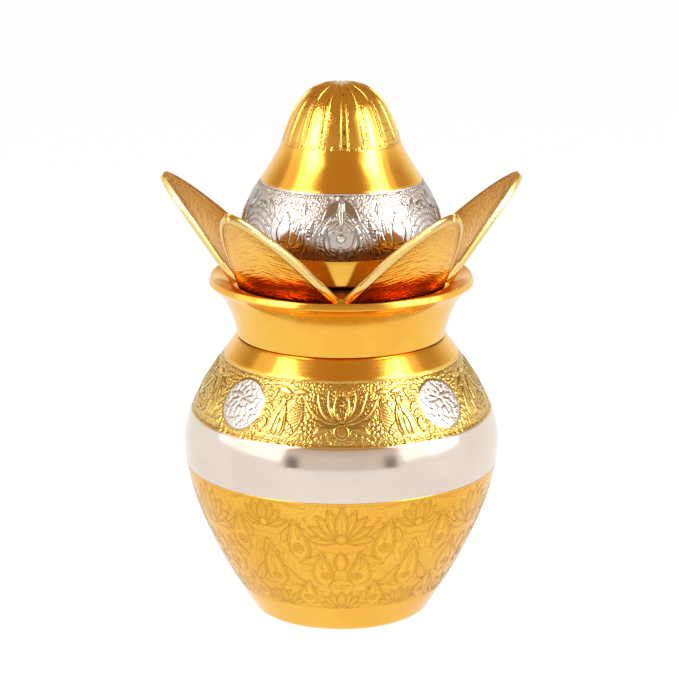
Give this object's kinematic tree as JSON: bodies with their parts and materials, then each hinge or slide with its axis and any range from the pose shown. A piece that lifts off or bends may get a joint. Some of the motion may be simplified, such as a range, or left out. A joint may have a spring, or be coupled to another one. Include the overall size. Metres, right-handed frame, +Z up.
{
  "type": "lidded kalash",
  "caption": "Round-bellied ritual pot with a flared neck and a lift-off lid of pointed leaves around a fluted coconut finial.",
  "frame": {"origin": "middle of the flat foot of the pot, on the surface that it stands on and on the pot's axis", "axes": "+Z up the pot's axis, -Y towards the viewer through the notch between the two front leaves, +X to the viewer's right"},
  "size_m": [0.1016, 0.0971, 0.1498],
  "materials": {
    "gold_plate": "polished gold plate over brass",
    "gold_engraved": "engraved and stippled gold plate, satin ground with bright cuts",
    "silver_plate": "polished silver plate over brass",
    "silver_engraved": "engraved silver plate, frosted ground with bright cuts",
    "bare_brass": "turned bare brass, slightly dull"
  },
  "bodies": {
    "pot": {"pot_body": "gold_engraved", "pot_neck": "gold_plate"},
    "crown": {"lid_dish": "gold_plate", "stud_washer": "bare_brass", "stud_nut": "bare_brass", "leaf_front_left": "gold_engraved", "leaf_front_right": "gold_engraved", "leaf_left": "gold_engraved", "leaf_right": "gold_engraved", "leaf_back": "gold_engraved"},
    "coconut": {"coconut_lower_shell": "silver_engraved", "coconut_upper_shell": "gold_plate", "coconut_boss": "bare_brass", "lid_stud": "bare_brass"}
  },
  "joints": [
    {"name": "lid_lift", "type": "slide", "parent": "pot", "child": "crown", "axis": [0, 0, 1], "range_m": [0, 0.05]},
    {"name": "coconut_turn", "type": "hinge", "parent": "crown", "child": "coconut", "pos_m": [0, 0, 0.094], "axis": [0, 0, 1], "continuous": true}
  ]
}
